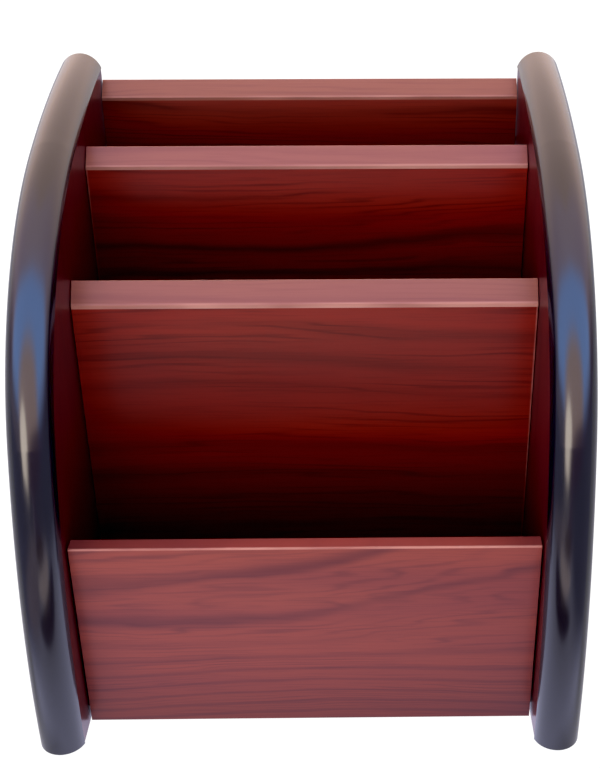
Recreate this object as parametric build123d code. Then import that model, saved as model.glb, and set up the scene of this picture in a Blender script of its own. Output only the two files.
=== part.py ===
from build123d import *
import os
from math import asin, atan2, cos, degrees, hypot, radians, sin

# A stepped desk stand with a drawer.  Millimetres.  X is across, +Y goes to the back, +Z is up.
# Lengths along Y are first measured from the face of the closed drawer front, where y is 0, and
# the finished pieces are then moved so that the origin lies at the bottom centre of the stand.

# ---- driving dimensions ------------------------------------------------------------------
inner_width = 128.0           # clear width between the two side panels
side_thickness = 12.0         # side panels
board_thickness = 4.5         # back panel, dividers, floors and drawer front
end_gap = 0.25                # butt joint between a board's end and a side panel

# side panel outline: three tangent arcs from the foot, up the front and over to the back
foot_y = -8.7                 # front corner of the foot
front_lean = 2.8              # degrees by which the front leans forward at the foot
front_radius = 247.0
front_turn = 21.3             # degrees
shoulder_radius = 94.0
shoulder_turn = 52.5          # degrees
top_radius = 260.0

# edge trim: a domed strip with a barbed tongue that is pushed into a kerf in the side panel
trim_crown = 4.5              # height of the dome
trim_lip = 0.2                # the strip is this much wider than the panel on each side
tongue_depth = 8.0
tongue_web = 1.6              # thickness of the tongue between its barbs
barb_span = 2.8               # width over the barb tips
barb_count = 2
kerf_clearance = 0.1          # each side of the barbs
kerf_bottom_gap = 0.8

# boards: place of the front face, height of the front arris, rise of the bevelled top edge.
# The back panel's height follows from its drop.
front_divider_y = 37.5
front_divider_height = 115.1
front_divider_rise = 6.2
rear_divider_y = 74.3
rear_divider_height = 142.0
rear_divider_rise = 5.2
back_panel_y = 106.6
back_panel_rise = 4.9
back_panel_drop = 3.1         # its top edge below the top of the side panels, at the back
edge_band = 0.6               # thickness of the strip glued on a board's top edge
arris_radius = 0.3            # rounding along the strip's two long edges

# carcass floors
base_lift = 1.5               # underside of the base panel above the desk
base_front_gap = 0.3          # base panel to the back of the drawer front

# drawer
drawer_front_height = 61.1    # top of the drawer front above the desk
drawer_front_lift = 0.5       # bottom of the drawer front above the desk
drawer_front_gap = 0.6        # drawer front to a side panel
drawer_side_gap = 0.9         # drawer side to a side panel
drawer_board = 4.0            # drawer sides and back
drawer_side_height = 21.5
drawer_bottom_board = 3.0
drawer_bottom_lift = 1.5      # underside of the drawer bottom above the lower edge of the sides
drawer_groove = 2.0           # depth of the groove that holds the drawer bottom
groove_clearance = 0.1
running_gap = 0.3             # drawer sides above the base panel
drawer_rear_gap = 2.0         # drawer back to the back panel when the drawer is shut
drawer_head_gap = 0.8         # drawer sides below the front divider
stop_catch = 1.8              # how far the drawer back stands up behind the front divider
drawer_back_gap = 0.6         # drawer back below the compartment floor
corner_block = 7.0            # legs of the glue blocks behind the drawer front
block_top_gap = 1.0           # glue blocks below the top of the drawer sides

# brads: short rectangular nails that hold the butt joints, with their heads set below the face
brad_width = 1.25
brad_thickness = 1.0
brad_clearance = 0.05         # on each side of a brad in its hole
brad_length = 28.0
brad_set = 1.0                # head below the outer face of a side panel
brad_inset = 14.0             # from the end of a joint to its nearest brad
drawer_brad_length = 12.0
drawer_brad_set = 0.5
drawer_brad_inset = 5.0

# ---- derived places ----------------------------------------------------------------------
side_x = inner_width / 2                      # inner face of the right side panel
board_half = side_x - end_gap                 # half the length of a carcass board
rear_y = back_panel_y + board_thickness       # back of the stand
base_z = base_lift + board_thickness          # top of the base panel
box_z = base_z + running_gap                  # lower edge of the drawer sides
sides_top_z = box_z + drawer_side_height
divider_foot_z = sides_top_z + drawer_head_gap
drawer_back_top_z = divider_foot_z + stop_catch
floor_under_z = drawer_back_top_z + drawer_back_gap
floor_z = floor_under_z + board_thickness     # top of the compartment floor
front_divider_back_y = front_divider_y + board_thickness
drawer_back_y = back_panel_y - drawer_rear_gap - drawer_board
drawer_side_x = side_x - drawer_side_gap      # outer face of the right drawer side
drawer_front_half = side_x - drawer_front_gap
bottom_under_z = box_z + drawer_bottom_lift
bottom_top_z = bottom_under_z + drawer_bottom_board
kerf_width = barb_span + 2 * kerf_clearance
kerf_depth = tongue_depth + kerf_bottom_gap


def foremost_y():
    """The dome of the trim at the most forward point of the side panel's outline."""
    return foot_y - front_radius * (1 - cos(radians(front_lean))) - trim_crown


centre_y = (foremost_y() + rear_y) / 2

# ---- side panels and edge trims ----------------------------------------------------------


def outline_arcs():
    """The side panel's front and top edge, drawn in the YZ plane from the foot to the back."""
    tangent = (-sin(radians(front_lean)), cos(radians(front_lean)))
    front = JernArc((foot_y, 0), tangent, front_radius, -front_turn)
    shoulder = JernArc(front @ 1, front % 1, shoulder_radius, -shoulder_turn)
    start = shoulder @ 1
    heading = atan2((shoulder % 1).Y, (shoulder % 1).X)
    end_heading = asin(sin(heading) - (rear_y - start.X) / top_radius)
    top = JernArc(start, shoulder % 1, top_radius, -degrees(heading - end_heading))
    return [front, shoulder, top]


def rear_top():
    """Height of the side panels at the back."""
    return (outline_arcs()[-1] @ 1).Y


back_panel_height = rear_top() - back_panel_drop - back_panel_rise


def panel_outline():
    """The closed outline of a side panel."""
    arcs = outline_arcs()
    end = arcs[-1] @ 1
    rear = Line((end.X, end.Y), (rear_y, 0))
    foot = Line((rear_y, 0), (foot_y, 0))
    return make_face(Curve() + arcs + [rear, foot])


def trim_path(overrun):
    """The line that the trim follows, run on past the foot and the back so that it can be cut flush."""
    arcs = outline_arcs()
    first, last = arcs[0], arcs[-1]
    lead_in = Line(first @ 0 - (first % 0) * overrun, first @ 0)
    lead_out = Line(last @ 1, last @ 1 + (last % 1) * overrun)
    return Plane.YZ * Wire([*lead_in.edges(), *[e for a in arcs for e in a.edges()], *lead_out.edges()])


def along_trim(section, overrun=2 * trim_crown):
    """Sweeps a section, drawn with x across the panel and y outwards, along the panel's edge."""
    path = trim_path(overrun)
    start = Plane(origin=path @ 0, x_dir=(1, 0, 0), z_dir=path % 0)
    outward = start.y_dir.Y < 0
    placed = start * (section if outward else mirror(section, Plane.XZ))
    return sweep(placed, path=path)


def trim_section():
    """Dome, flat seat and barbed tongue."""
    half = side_thickness / 2 + trim_lip
    pitch = tongue_depth / barb_count
    right = [(tongue_web / 2, 0)]
    for i in range(barb_count):
        tip = -(i + 0.5) * pitch
        right += [(tongue_web / 2, tip + 0.3 * pitch), (barb_span / 2, tip + 0.2 * pitch)]
        right += [(tongue_web / 2, tip - 0.5 * pitch)]
    left = [(-x, y) for x, y in reversed(right)]
    dome = ThreePointArc((-half, 0), (0, trim_crown), (half, 0))
    seat = Polyline((half, 0), *right, *left, (-half, 0))
    return make_face(Curve() + [dome, seat])


def kerf_section():
    return Pos(0, -kerf_depth / 2) * Rectangle(kerf_width, kerf_depth)


def stand_envelope():
    """Everything above the desk and in front of the stand's back."""
    reach = 4 * rear_y
    return Pos(0, rear_y - reach / 2, reach / 2) * Box(4 * side_x, reach, reach)


def side_panel(side, brad_places):
    """side is -1 for the left panel and 1 for the right."""
    inner = side * side_x
    panel = extrude(Plane.YZ.offset(inner) * panel_outline(), side * side_thickness)
    kerf = Pos(inner + side * side_thickness / 2, 0, 0) * along_trim(kerf_section())
    return panel - kerf - carcass_brads(brad_places, brad_clearance, [side])


def edge_trim(side):
    strip = along_trim(trim_section()) & stand_envelope()
    return Pos(side * (side_x + side_thickness / 2), 0, 0) * strip


# ---- boards ------------------------------------------------------------------------------


def slab(x_half, y0, y1, z0, z1):
    """A board between two places along Y and Z, centred across the stand."""
    return Pos(0, (y0 + y1) / 2, (z0 + z1) / 2) * Box(2 * x_half, y1 - y0, z1 - z0)


def yz_prism(points, x_half):
    return extrude(Plane.YZ.offset(-x_half) * make_face(Polyline(*points, close=True)), 2 * x_half)


def band_drop(rise):
    """How far the edge strip's thickness lowers a top edge with this rise, measured along Z."""
    return edge_band * hypot(board_thickness, rise) / board_thickness


def upright(y, foot_z, height, rise, x_half):
    """An upright board whose top edge is bevelled and rises to the back."""
    top = height - band_drop(rise)
    back = y + board_thickness
    return yz_prism([(y, foot_z), (y, top), (back, top + rise), (back, foot_z)], x_half)


def top_strip(y, height, rise, x_half):
    """The strip on that board's top edge, with both long upper edges rounded."""
    drop = band_drop(rise)
    back = y + board_thickness
    corners = [(y, height - drop), (y, height), (back, height + rise), (back, height + rise - drop)]
    section = make_face(Polyline(*corners, close=True))
    upper = [v for v in section.vertices() if v.Y > height - drop / 2 and abs(v.Y - corners[3][1]) > 1e-6]
    section = fillet(upper, min(arris_radius, 0.45 * edge_band))
    return extrude(Plane.YZ.offset(-x_half) * section, 2 * x_half)


# ---- brads -------------------------------------------------------------------------------


def spread(first, last, count):
    """Evenly spaced places from first to last."""
    return [first + (last - first) * i / (count - 1) for i in range(count)]


def joint_brads():
    """(y, z) of each brad, the same in both side panels, kept by the board that it holds."""
    mid = board_thickness / 2

    def up(y, foot_z, height, count):
        return [(y + mid, z) for z in spread(foot_z + brad_inset, height - brad_inset, count)]

    def along(y0, y1, top_z, count):
        return [(y, top_z - mid) for y in spread(y0 + brad_inset, y1 - brad_inset, count)]

    return {
        "back_panel": up(back_panel_y, base_lift, back_panel_height, 4),
        "rear_divider": up(rear_divider_y, floor_z, rear_divider_height, 3),
        "front_divider": up(front_divider_y, divider_foot_z, front_divider_height, 3),
        "compartment_floor": along(front_divider_back_y, back_panel_y, floor_z, 2),
        "base_panel": along(board_thickness, back_panel_y, base_z, 3),
    }


def brad(side, face_x, set_depth, length, y, z, slack=0):
    """A brad driven inwards from a face at face_x on one side, or its hole when it has slack."""
    x = side * (face_x - set_depth - length / 2)
    size = (length + 2 * slack, brad_thickness + 2 * slack, brad_width + 2 * slack)
    return Pos(x, y, z) * Box(*size)


def carcass_brads(places, slack=0, sides=(-1, 1)):
    face_x = side_x + side_thickness
    return [brad(side, face_x, brad_set, brad_length, y, z, slack) for side in sides for y, z in places]


def with_holes(board, places):
    return board - carcass_brads(places, brad_clearance)


def drawer_brads(slack=0):
    """Brads through the drawer sides into the ends of the drawer back."""
    y = drawer_back_y + drawer_board / 2
    levels = (bottom_top_z + drawer_brad_inset, sides_top_z - drawer_brad_inset)
    return [
        brad(side, drawer_side_x, drawer_brad_set, drawer_brad_length, y, z, slack)
        for side in (-1, 1)
        for z in levels
    ]


# ---- drawer ------------------------------------------------------------------------------


def drawer_side(side):
    """A side with the groove for the drawer bottom along its inner face."""
    inner = drawer_side_x - drawer_board
    length = (board_thickness, drawer_back_y + drawer_board)
    board = slab(drawer_board / 2, *length, box_z, sides_top_z)
    board = Pos(side * (inner + drawer_board / 2), 0, 0) * board
    groove_z = (bottom_under_z - groove_clearance, bottom_top_z + groove_clearance)
    groove = slab((drawer_groove + groove_clearance) / 2, *length, *groove_z)
    groove_x = inner + (drawer_groove + groove_clearance) / 2
    return board - Pos(side * groove_x, 0, 0) * groove - drawer_brads(brad_clearance)


def drawer_bottom():
    half = drawer_side_x - drawer_board + drawer_groove
    return slab(half, board_thickness, drawer_back_y, bottom_under_z, bottom_top_z)


def drawer_back():
    half = drawer_side_x - drawer_board
    board = slab(half, drawer_back_y, drawer_back_y + drawer_board, box_z, drawer_back_top_z)
    return board - drawer_brads(brad_clearance)


def corner_blocks():
    """Three-cornered glue blocks behind the drawer front."""
    inner = drawer_side_x - drawer_board
    blocks = []
    height = sides_top_z - block_top_gap - bottom_top_z
    for side in (-1, 1):
        corner = (side * inner, board_thickness)
        points = [corner, (side * (inner - corner_block), board_thickness)]
        points += [(side * inner, board_thickness + corner_block)]
        face = make_face(Polyline(*points, close=True))
        blocks.append(Pos(0, 0, bottom_top_z) * extrude(face, height, dir=(0, 0, 1)))
    return blocks


# ---- assembly ----------------------------------------------------------------------------


def build():
    places = joint_brads()
    every_place = [place for group in places.values() for place in group]
    front_divider = (front_divider_y, front_divider_height, front_divider_rise)
    rear_divider = (rear_divider_y, rear_divider_height, rear_divider_rise)
    back_panel = (back_panel_y, back_panel_height, back_panel_rise)

    nodes = {}
    for name, side in (("left", -1), ("right", 1)):
        nodes[f"{name}_side_panel"] = side_panel(side, every_place)
        nodes[f"{name}_edge_trim"] = edge_trim(side)
        nodes[f"drawer_{name}_side"] = drawer_side(side)

    uprights = {
        "back_panel": (back_panel, base_lift),
        "rear_divider": (rear_divider, floor_z),
        "front_divider": (front_divider, divider_foot_z),
    }
    for name, ((y, height, rise), foot_z) in uprights.items():
        nodes[name] = with_holes(upright(y, foot_z, height, rise, board_half), places[name])
        nodes[f"{name}_edge_band"] = top_strip(y, height, rise, board_half)

    floor = slab(board_half, front_divider_back_y, back_panel_y, floor_under_z, floor_z)
    nodes["compartment_floor"] = with_holes(floor, places["compartment_floor"])
    base = slab(board_half, board_thickness + base_front_gap, back_panel_y, base_lift, base_z)
    nodes["base_panel"] = with_holes(base, places["base_panel"])
    nodes["joint_brads"] = carcass_brads(every_place)

    nodes["drawer_front"] = upright(0, drawer_front_lift, drawer_front_height, 0, drawer_front_half)
    nodes["drawer_front_edge_band"] = top_strip(0, drawer_front_height, 0, drawer_front_half)
    nodes["drawer_bottom"] = drawer_bottom()
    nodes["drawer_back"] = drawer_back()
    nodes["drawer_corner_blocks"] = corner_blocks()
    nodes["drawer_brads"] = drawer_brads()
    return nodes


def write(nodes):
    os.makedirs("parts", exist_ok=True)
    home = Pos(0, -centre_y, 0)
    for name, shape in nodes.items():
        solids = [s for piece in (shape if isinstance(shape, list) else [shape]) for s in piece.solids()]
        moved = [home * solid for solid in solids]
        export_step(moved[0] if len(moved) == 1 else Compound(children=moved), f"parts/{name}.step")


nodes = build()
write(nodes)
drawer_travel = drawer_back_y - front_divider_back_y
print(f"origin is {centre_y:.3f} mm behind the drawer front's face; drawer travel {drawer_travel:.2f} mm")
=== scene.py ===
import math

import bpy
from mathutils import Matrix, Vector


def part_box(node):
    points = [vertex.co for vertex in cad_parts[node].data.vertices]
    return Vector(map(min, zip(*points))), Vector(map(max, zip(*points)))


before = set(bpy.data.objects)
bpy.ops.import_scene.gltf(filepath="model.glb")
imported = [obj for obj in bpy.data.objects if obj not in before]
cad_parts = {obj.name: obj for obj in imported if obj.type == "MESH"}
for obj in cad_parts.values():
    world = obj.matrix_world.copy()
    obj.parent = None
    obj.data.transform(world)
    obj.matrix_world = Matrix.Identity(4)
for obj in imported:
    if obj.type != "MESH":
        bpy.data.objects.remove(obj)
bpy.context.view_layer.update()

# Stepped desk stand with a drawer.  Metres, +Z up, the drawer opens along -Y.

scene = bpy.context.scene


# ---- node helpers ------------------------------------------------------------------------


class Tree:
    """A material or world node tree with short calls for its nodes."""

    def __init__(self, owner):
        owner.use_nodes = True
        self.nodes = owner.node_tree.nodes
        self.links = owner.node_tree.links
        self.nodes.clear()

    def put(self, socket, value):
        """Sets a socket to a constant, or links another node's output to it."""
        if isinstance(value, bpy.types.NodeSocket):
            self.links.new(value, socket)
        else:
            socket.default_value = value

    def add(self, kind, inputs=None, **settings):
        """A node; inputs maps a socket's name or number to a constant or to another node's output."""
        node = self.nodes.new(kind)
        for key, value in settings.items():
            setattr(node, key, value)
        for key, value in (inputs or {}).items():
            self.put(node.inputs[key], value)
        return node

    def math(self, operation, a, b=0.0):
        return self.add("ShaderNodeMath", {0: a, 1: b}, operation=operation).outputs[0]

    def times(self, a, b):
        return self.math("MULTIPLY", a, b)

    def plus(self, first, *others):
        for other in others:
            first = self.math("ADD", first, other)
        return first

    def minus(self, a, b):
        return self.math("SUBTRACT", a, b)

    def span(self, value, low, high, to_low=0.0, to_high=1.0):
        """Maps low..high to to_low..to_high with a smooth step."""
        inputs = {"Value": value, "From Min": low, "From Max": high, "To Min": to_low, "To Max": to_high}
        return self.add("ShaderNodeMapRange", inputs, interpolation_type="SMOOTHSTEP").outputs[0]

    def mix(self, factor, a, b, blend="MIX"):
        """A colour between a, at factor 0, and b, at factor 1."""
        inputs = {0: factor, 6: a, 7: b}
        return self.add("ShaderNodeMix", inputs, data_type="RGBA", blend_type=blend).outputs[2]

    def stretched(self, scale, shift=(0.0, 0.0, 0.0)):
        """The object's own coordinates, scaled along each axis and then shifted."""
        place = self.add("ShaderNodeTexCoord").outputs["Object"]
        return self.add("ShaderNodeMapping", {"Vector": place, "Location": shift, "Scale": scale}).outputs[0]

    def axes(self, scale=(1, 1, 1)):
        """The x, y and z outputs of those coordinates."""
        return self.add("ShaderNodeSeparateXYZ", {0: self.stretched(scale)}).outputs

    def noise(self, vector, detail):
        inputs = {"Vector": vector, "Scale": 1.0, "Detail": detail}
        return self.add("ShaderNodeTexNoise", inputs).outputs["Fac"]

    def bump(self, height, distance, strength):
        inputs = {"Height": height, "Distance": distance, "Strength": strength}
        return self.add("ShaderNodeBump", inputs).outputs[0]


def linear(r, g, b):
    """An sRGB colour given as 0..255 numbers, as a linear RGBA colour."""
    def one(c):
        c = c / 255
        return c / 12.92 if c <= 0.04045 else ((c + 0.055) / 1.055) ** 2.4
    return (one(r), one(g), one(b), 1.0)


def surfaced(name, describe):
    """A material from describe(tree), which returns the principled shader's inputs."""
    material = bpy.data.materials.new(name)
    tree = Tree(material)
    shader = tree.add("ShaderNodeBsdfPrincipled", describe(tree))
    tree.add("ShaderNodeOutputMaterial", {"Surface": shader.outputs[0]})
    return material


# ---- materials ---------------------------------------------------------------------------

# light, banded and vein colour of each kind of board. The boards are one laminate, and the differences
# between these tones are painted light and shade: the drawer front is painted as lit and palest, the inner
# faces and the side panels as shaded and deepest, the back panel and the edge strips as lit, lighter and
# pinker
LIT_FRONT = ((0.29, 0.063, 0.053, 1), (0.23, 0.049, 0.052, 1), (0.085, 0.018, 0.034, 1))
SHADED_INNER = ((0.23, 0.015, 0.008, 1), (0.185, 0.012, 0.008, 1), (0.07, 0.004, 0.005, 1))
LIFTED_REAR = ((0.36, 0.042, 0.022, 1), (0.285, 0.032, 0.021, 1), (0.105, 0.010, 0.009, 1))
SHADED_SIDE = ((0.135, 0.016, 0.022, 1), (0.11, 0.013, 0.020, 1), (0.05, 0.004, 0.010, 1))
LIT_STRIP = ((0.40, 0.148, 0.105, 1), (0.36, 0.125, 0.108, 1), (0.27, 0.085, 0.080, 1))
SATIN = ((0.15, 0.016, 0.010, 1), (0.12, 0.012, 0.010, 1), (0.05, 0.005, 0.006, 1))
PALE_END_COLOR = (0.42, 0.17, 0.15, 1)
# colour of the painted highlight along the front edges of the edge strips
EDGE_HIGHLIGHT_COLOR = (0.62, 0.30, 0.26, 1)

WANDER = 7.0                        # how far the veins wander, in steps from one bold vein to the next
RIPPLE = 0.6                        # and how far they waver on the way
FINE_STEPS = 4.1                    # fine veins to each bold one
FINE_WANDER = 3.5                   # how far the fine ones wander by themselves, in their own steps
CROWDING = 2600.0                   # extra steps for each square of the depth below the height crowd
CROWD_DEPTH = 0.02                  # this far below it, the bold veins are seldom broken
PALE_END_SPAN = (0.06325, 0.0635)       # from the middle of the stand; the boards end at 0.06375
HIGHLIGHT_EDGE_SPAN = (0.0005, 0.0002)        # the painted highlight begins and is full this far behind an edge
ROUGHNESS_SWING = 0.05              # each way; a range that crosses 0.27 shows outlines after denoising


def rosewood(name, grain, across, seed, tone, rings=120.0, waves=1.0, slope=0.0, bold=0.5, fine=0.4,
             crowd=0.0, rough=0.33, ior=1.5, pale_end=0, arris=None):
    """Glossy rosewood laminate. The figure runs along the axis grain, and its dark veins follow each other
    along the axis across: a few bold ones with finer ones between them. tone holds the light, banded and
    vein colours, rings the bold veins per metre, waves how far they wander, slope their lean, bold and fine
    how dark the veins get. Below the height crowd the veins run closer and closer together, as at the edge
    of a flat-sawn board. pale_end, -1 or 1, puts a thin pale line at the board's left or right end, and arris
    is the depth along Y of a paler front edge, which is a painted highlight."""

    def scales(along_scale, across_scale, third):
        return tuple(along_scale if a == grain else across_scale if a == across else third for a in "XYZ")

    def describe(tree):
        def figure(along_scale, across_scale, detail=2.0, offset=0.0):
            """Noise with these scales per metre; offset tells one layer from another."""
            shift = (seed + offset, 2 * seed - offset, offset - seed)
            return tree.noise(tree.stretched(scales(along_scale, across_scale, 8.0), shift), detail)

        def veins(steps, narrow, strength):
            """Soft lines, one for each whole step; narrow says how thin they are."""
            ring = tree.times(tree.math("PINGPONG", steps, 0.5), 2.0)
            return tree.times(tree.span(ring, narrow, 1.0), strength)

        x, y, z = tree.axes(scales(slope, rings, 0))
        steps = tree.plus(tree.plus(x, y), tree.plus(z, seed))
        steps = tree.plus(steps, tree.times(figure(5, 16, 1.0), WANDER * waves))
        steps = tree.plus(steps, tree.times(figure(30, 50, 2.0, 5.0), RIPPLE * waves))
        unbroken = tree.span(figure(6, 60, 2.0, 9.0), 0.38, 0.64)
        if crowd:
            below = tree.math("MAXIMUM", tree.minus(crowd, tree.axes()[2]), 0.0)
            steps = tree.minus(steps, tree.times(tree.math("POWER", below, 2.0), CROWDING))
            unbroken = tree.math("MAXIMUM", unbroken, tree.span(below, 0.0, CROWD_DEPTH, 0.0, 0.65))
        narrow = tree.span(figure(9, 30, 1.0, 7.0), 0.3, 0.7, 0.2, 0.75)
        bold_veins = veins(steps, narrow, unbroken)
        own_wander = tree.times(figure(14, 260, 2.0, 19.0), FINE_WANDER)
        fine_steps = tree.plus(tree.times(steps, FINE_STEPS), own_wander)
        fine_veins = veins(fine_steps, 0.45, tree.span(figure(16, 200, 2.0, 29.0), 0.38, 0.66))
        fibre = figure(60, 2600, 3.0, 17.0)

        light, band, dark = tone
        color = tree.mix(tree.span(figure(4, 42, 2.0, 13.0), 0.40, 0.62), light, band)
        color = tree.mix(tree.times(bold_veins, bold), color, dark)
        color = tree.mix(tree.times(fine_veins, fine), color, dark)
        color = tree.mix(tree.span(fibre, 0.45, 0.75, 0.0, 0.25), color, dark)
        # a thin pale line at one end of the board, beside the dark gap to the side panel
        if pale_end:
            end = tree.span(tree.times(tree.axes()[0], pale_end), *PALE_END_SPAN)
            color = tree.mix(tree.times(end, figure(60, 300, 2.0, 21.0)), color, PALE_END_COLOR)
        # painted highlight: a paler, broken line along the front edge, where light would catch the rounded
        # arris
        if arris is not None:
            begins, full = HIGHLIGHT_EDGE_SPAN
            edge_highlight = tree.span(tree.axes()[1], arris + begins, arris + full)
            edge_highlight = tree.times(edge_highlight, tree.span(figure(25, 70, 3.0, 31.0), 0.35, 0.65, 0.2, 0.75))
            color = tree.mix(edge_highlight, color, EDGE_HIGHLIGHT_COLOR)
        return {
            "Base Color": color,
            "Roughness": tree.span(figure(12, 40, 3.0, 25.0), 0.0, 1.0, rough - ROUGHNESS_SWING,
                                   rough + ROUGHNESS_SWING),
            "IOR": ior,
            "Normal": tree.bump(fibre, 0.00004, 0.4),
        }

    return surfaced(name, describe)


def black_gloss(name):
    """Glossy black moulded strip with a blue cast and faint extrusion lines. The blue cast is partly the
    strip's own navy tint and partly a painted reflection of the cool floor.
    """
    def describe(tree):
        mottle = tree.noise(tree.stretched((60, 60, 60)), 3.0)
        lines = tree.noise(tree.stretched((900, 25, 25)), 2.0)
        return {
            # partly painted reflection: the blue in these base colours also stands for the cool floor seen in
            # the gloss
            "Base Color": tree.mix(mottle, (0.0025, 0.003, 0.010, 1), (0.0045, 0.005, 0.016, 1)),
            "Roughness": tree.span(mottle, 0.25, 0.75, 0.16, 0.24),
            "IOR": 1.52,
            "Coat Weight": 1.0,
            "Coat Roughness": 0.12,
            "Normal": tree.bump(lines, 0.00005, 0.3),
        }
    return surfaced(name, describe)


def softwood(name):
    """Plain sawn softwood, with its grain upright."""
    def describe(tree):
        rings = tree.noise(tree.stretched((500, 500, 12)), 3.0)
        return {
            "Base Color": tree.mix(rings, linear(206, 170, 122), linear(168, 126, 80)),
            "Roughness": 0.7,
            "Normal": tree.bump(rings, 0.0002, 0.5),
        }
    return surfaced(name, describe)


def steel(name):
    """Drawn steel wire that lies across the stand."""
    def describe(tree):
        drawn = tree.noise(tree.stretched((40, 3000, 3000)), 2.0)
        return {
            "Base Color": tree.mix(drawn, linear(170, 170, 172), linear(140, 140, 143)),
            "Metallic": 1.0,
            "Roughness": tree.span(drawn, 0.3, 0.7, 0.25, 0.4),
        }
    return surfaced(name, describe)


def dress(node, material):
    """Gives a carried-over CAD node its material."""
    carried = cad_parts[node]
    if not carried.material_slots:
        carried.data.materials.append(material)
    for slot in carried.material_slots:
        slot.material = material


def toned(tone, gain):
    """The light, banded and vein colours of a tone, made lighter or darker by gain, which paints more or less
    light onto a board.
    """
    return [tuple(gain * part for part in color[:3]) + (1.0,) for color in tone]


# painted light and shade: each board takes the tone that stands for how it is lit
dress("drawer_front", rosewood("rosewood_drawer_front", "X", "Z", 3.1, LIT_FRONT, rings=75, waves=0.8, slope=-7,
                               bold=0.55, fine=0.35, crowd=0.038))
dress("front_divider", rosewood("rosewood_front_divider", "X", "Z", 7.7, SHADED_INNER, rings=110, waves=0.4, bold=0.4,
                                fine=0.5, rough=0.22, ior=1.38, pale_end=1))
# painted light: the rear divider takes the shaded inner tone made 1.3 times lighter
dress("rear_divider", rosewood("rosewood_rear_divider", "X", "Z", 12.4, toned(SHADED_INNER, 1.3), rings=110,
                               waves=0.6, bold=0.75, fine=0.6, rough=0.22, ior=1.38, pale_end=-1))
dress("back_panel", rosewood("rosewood_back_panel", "X", "Z", 17.9, LIFTED_REAR, rings=110, waves=0.6, bold=0.7,
                             fine=0.6))
dress("compartment_floor", rosewood("rosewood_compartment_floor", "X", "Y", 23.5, SHADED_INNER))
dress("base_panel", rosewood("rosewood_base_panel", "X", "Y", 29.3, SHADED_INNER))
dress("left_side_panel", rosewood("rosewood_left_side", "Z", "Y", 41.2, SHADED_SIDE))
dress("right_side_panel", rosewood("rosewood_right_side", "Z", "Y", 53.8, SHADED_SIDE))

# painted light: the drawer front's strip is the lit front tone made lighter, the front divider's strip the
# strip tone made darker
strip_tones = {"drawer_front": toned(LIT_FRONT, 1.2), "front_divider": toned(LIT_STRIP, 0.87)}
for node in ("drawer_front", "front_divider", "rear_divider", "back_panel"):
    strip = f"{node}_edge_band"
    front_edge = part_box(strip)[0][1]
    tone = strip_tones.get(node, LIT_STRIP)
    dress(strip, rosewood(f"strip_{node}", "X", "Z", 61.0 + len(node), tone, rings=200, waves=0.3,
                          arris=front_edge))

dress("drawer_back", rosewood("satin_drawer_back", "X", "Z", 71.3, SATIN, rough=0.42))
dress("drawer_bottom", rosewood("satin_drawer_bottom", "X", "Y", 76.9, SATIN, rough=0.42))
for side in ("left", "right"):
    seed = 83.0 + len(side)
    dress(f"drawer_{side}_side", rosewood(f"satin_{side}_side", "Y", "Z", seed, SATIN, rough=0.42))
    dress(f"{side}_edge_trim", black_gloss(f"black_trim_{side}"))
dress("drawer_corner_blocks", softwood("glue_block_wood"))
for node in ("joint_brads", "drawer_brads"):
    dress(node, steel(f"steel_{node}"))


# ---- floor, light and camera -------------------------------------------------------------

STAND_HALF_WIDTH, STAND_HALF_DEPTH = 0.076, 0.062
FLOOR_HALF = 4.0


def patch(tree, across, along, center, reach, edge):
    """1 inside an ellipse of two coordinates, 0 outside it, with a soft edge."""
    parts = []
    for value, middle, half in zip((across, along), center, reach):
        part = tree.math("DIVIDE", tree.minus(value, middle), half)
        parts.append(tree.times(part, part))
    return tree.span(tree.plus(*parts), 1 + edge, 1 - edge)


def floor_glow(tree, x, y):
    """How strongly the floor lights the stand. In front it is less close to the stand, which is a painted
    shadow of the stand on the floor's glow, less out to the sides, and more on the left; from the stand's
    middle back it is even."""
    aside = tree.math("ABSOLUTE", x)
    beside = tree.minus(aside, STAND_HALF_WIDTH)
    before = tree.minus(tree.math("ABSOLUTE", y), STAND_HALF_DEPTH)
    # painted shadow: the floor's glow is dimmed close to the stand, where the stand would shade it
    near = tree.span(tree.math("MAXIMUM", beside, before), 0.0, 0.13, 0.35, 3.5)
    near = tree.times(near, tree.span(aside, 0.03, 0.13, 1.0, 0.3))
    near = tree.times(near, tree.span(x, -0.10, 0.10, 1.45, 0.75))
    return tree.span(tree.span(y, -0.05, 0.03), 0.0, 1.0, near, 0.4)


def floor_sheen(tree, x, y):
    """What glossy surfaces see of the floor: cool close in front, and dimmer beside the stand and behind
    its front, with one bright patch and some dim ones further in front."""
    aside = tree.math("ABSOLUTE", x)
    far = tree.span(y, -0.25, -0.40)
    sheen = tree.mix(tree.span(y, -0.06, -0.13), (1.00, 1.00, 1.32, 1), (0.74, 0.72, 0.90, 1))
    sheen = tree.mix(far, sheen, (0.95, 0.82, 0.95, 1))
    sheen = tree.mix(tree.span(x, -0.13, -0.06), sheen, tree.mix(far, sheen, (0.34, 0.28, 0.42, 1)))
    sheen = tree.mix(tree.span(aside, 0.09, 0.16), sheen, (0.30, 0.29, 0.40, 1))
    beyond = tree.times(tree.span(y, -0.075, -0.055), tree.span(aside, 0.066, 0.074))
    sheen = tree.mix(beyond, sheen, (0.42, 0.41, 0.46, 1))
    for center, reach, color in (
        ((-0.16, -0.32), (0.08, 0.22), (0.62, 0.52, 0.60, 1)),
        ((0.0, -0.245), (0.095, 0.050), (1.50, 1.26, 1.24, 1)),
        ((-0.004, -0.160), (0.098, 0.034), (0.10, 0.05, 0.08, 1)),
        ((0.0, -0.42), (0.10, 0.110), (0.22, 0.14, 0.14, 1)),
    ):
        sheen = tree.mix(patch(tree, x, y, center, reach, 0.3), sheen, color)
    return sheen


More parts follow.
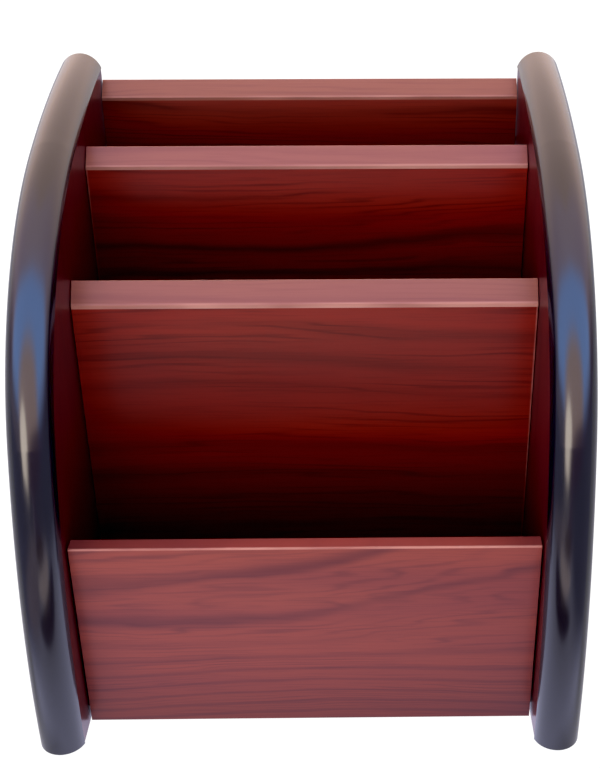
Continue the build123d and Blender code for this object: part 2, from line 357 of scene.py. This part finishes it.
def backdrop():
    """A wide pale floor that blends into the white surroundings. It is near white to the eye, glows softly
    up at the stand, and has a sheen of its own for reflections."""
    mesh = bpy.data.meshes.new("floor")
    corners = [(FLOOR_HALF * x, FLOOR_HALF * y, 0) for x, y in ((-1, -1), (1, -1), (1, 1), (-1, 1))]
    mesh.from_pydata(corners, [], [(0, 1, 2, 3)])
    floor = bpy.data.objects.new("floor", mesh)
    scene.collection.objects.link(floor)
    material = bpy.data.materials.new("floor_white")
    material.cycles.emission_sampling = "NONE"
    tree = Tree(material)

    def glowing(color, strength=1.0):
        return tree.add("ShaderNodeEmission", {"Color": color, "Strength": strength}).outputs[0]

    def either(factor, a, b):
        return tree.add("ShaderNodeMixShader", {0: factor, 1: a, 2: b}).outputs[0]

    tone = tree.noise(tree.stretched((3, 3, 3)), 2.0)
    paper_color = tree.mix(tone, (0.78, 0.78, 0.78, 1), (0.82, 0.82, 0.82, 1))
    paper = tree.add("ShaderNodeBsdfDiffuse", {"Color": paper_color}).outputs[0]
    x, y, _ = tree.axes()
    rays = tree.add("ShaderNodeLightPath").outputs
    surface = either(rays["Is Diffuse Ray"], paper, glowing((1, 0.97, 0.95, 1), floor_glow(tree, x, y)))
    surface = either(rays["Is Glossy Ray"], surface, glowing(floor_sheen(tree, x, y)))
    seen = either(0.9, paper, glowing((1, 1, 1, 1), 0.95))
    surface = either(rays["Is Camera Ray"], surface, seen)
    tree.add("ShaderNodeOutputMaterial", {"Surface": surface})
    mesh.materials.append(material)


def room_reflections(tree, turn, rise):
    """What glossy surfaces see of the room. It is dim at the horizon and bright above and behind. In
    front, a wide cool window band has a warm patch in its lower middle and a small bright spot left of
    that. Both angles are in degrees: turn is 0 towards -Y and 90 towards +X, rise is 0 at the horizon."""
    color = tree.mix(tree.span(rise, 0, 26), (0.30, 0.24, 0.33, 1), (1.25, 1.0, 1.15, 1))
    color = tree.mix(tree.span(rise, 30, 75), color, (1.5, 1.22, 1.35, 1))
    rear = tree.mix(tree.span(rise, 0, 30), (0.9, 0.8, 0.8, 1), (1.5, 1.15, 1.02, 1))
    color = tree.mix(tree.span(tree.math("ABSOLUTE", turn), 95, 130), color, rear)
    window = tree.times(patch(tree, turn, rise, (0, 18), (84, 50), 0.22), tree.span(rise, 0, 22))
    color = tree.mix(window, color, (1.15, 1.7, 3.05, 1))
    for center, reach, tint in (
        ((-50, -4), (45, 14), (0.62, 0.53, 0.62, 1)),
        ((-2, 18), (44, 27), (1.85, 1.42, 1.28, 1)),
        ((-25, 7), (15, 13), (5.0, 4.4, 3.8, 1)),
        ((18, -2), (36, 13), (0.3, 0.2, 0.3, 1)),
    ):
        color = tree.mix(patch(tree, turn, rise, center, reach, 0.5), color, tint)
    return color


def room_light(tree, turn, rise):
    """The soft light on the stand: low in front and a little from the left, and high behind."""
    off_axis = tree.math("ABSOLUTE", tree.plus(turn, 20))
    facing = tree.span(off_axis, 74, 5, 0.12, 1.25)
    facing = tree.add("ShaderNodeCombineColor", {0: facing, 1: facing, 2: facing}).outputs[0]
    front = tree.mix(tree.span(rise, 0, 43), (1.58, 1.54, 1.52, 1), (0.15, 0.15, 0.15, 1))
    front = tree.mix(1.0, front, facing, "MULTIPLY")
    behind = tree.mix(tree.span(rise, 35, 75), (0.30, 0.29, 0.28, 1), (6.0, 5.9, 5.75, 1))
    return tree.mix(tree.span(tree.math("ABSOLUTE", turn), 80, 125), front, behind)


def studio_world():
    """A pale room with a white background, which lights the stand and is reflected in it."""
    world = bpy.data.worlds.new("studio")
    world.cycles.sampling_method = "NONE"
    scene.world = world
    tree = Tree(world)
    direction = tree.add("ShaderNodeTexCoord").outputs["Generated"]
    x, y, z = tree.add("ShaderNodeSeparateXYZ", {0: direction}).outputs
    rise = tree.times(tree.math("ARCSINE", z), math.degrees(1))
    turn = tree.times(tree.math("ARCTAN2", x, tree.times(y, -1.0)), math.degrees(1))
    rays = tree.add("ShaderNodeLightPath").outputs
    color = tree.mix(rays["Is Diffuse Ray"], room_reflections(tree, turn, rise), room_light(tree, turn, rise))
    color = tree.mix(rays["Is Camera Ray"], color, (1, 1, 1, 1))
    light = tree.add("ShaderNodeBackground", {"Color": color, "Strength": 1.0})
    tree.add("ShaderNodeOutputWorld", {"Surface": light.outputs[0]})


def photo_camera():
    """The camera of the photograph, looking 28.56 degrees down, from the front and a little to the right.
    Its focal length and the centre of its lens are in the photograph's pixels."""
    width, height = 600, 768
    focal_px = 1239.9
    center_x, center_y = 374.6, 384.4
    data = bpy.data.cameras.new("camera")
    data.sensor_fit = "VERTICAL"
    data.sensor_height = 36.0
    data.lens = focal_px * data.sensor_height / height
    data.shift_x = (width / 2 - center_x) / height
    data.shift_y = (center_y - height / 2) / height
    data.clip_start = 0.01
    pitch, yaw, roll = (math.radians(a) for a in (28.56, -0.74, -0.01))
    facing = Matrix.Rotation(yaw, 4, "Z") @ Matrix.Rotation(math.pi / 2 - pitch, 4, "X")
    camera = bpy.data.objects.new("camera", data)
    place = Matrix.Translation((0.0150, -0.3190, 0.2577))
    camera.matrix_world = place @ facing @ Matrix.Rotation(roll, 4, "Z")
    scene.collection.objects.link(camera)
    scene.camera = camera


backdrop()
studio_world()
photo_camera()
scene.view_settings.view_transform = "Standard"
scene.view_settings.look = "Medium High Contrast"
scene.view_settings.use_curve_mapping = True
scene.view_settings.curve_mapping.black_level = (0.007, 0.007, 0.007)
scene.view_settings.curve_mapping.update()
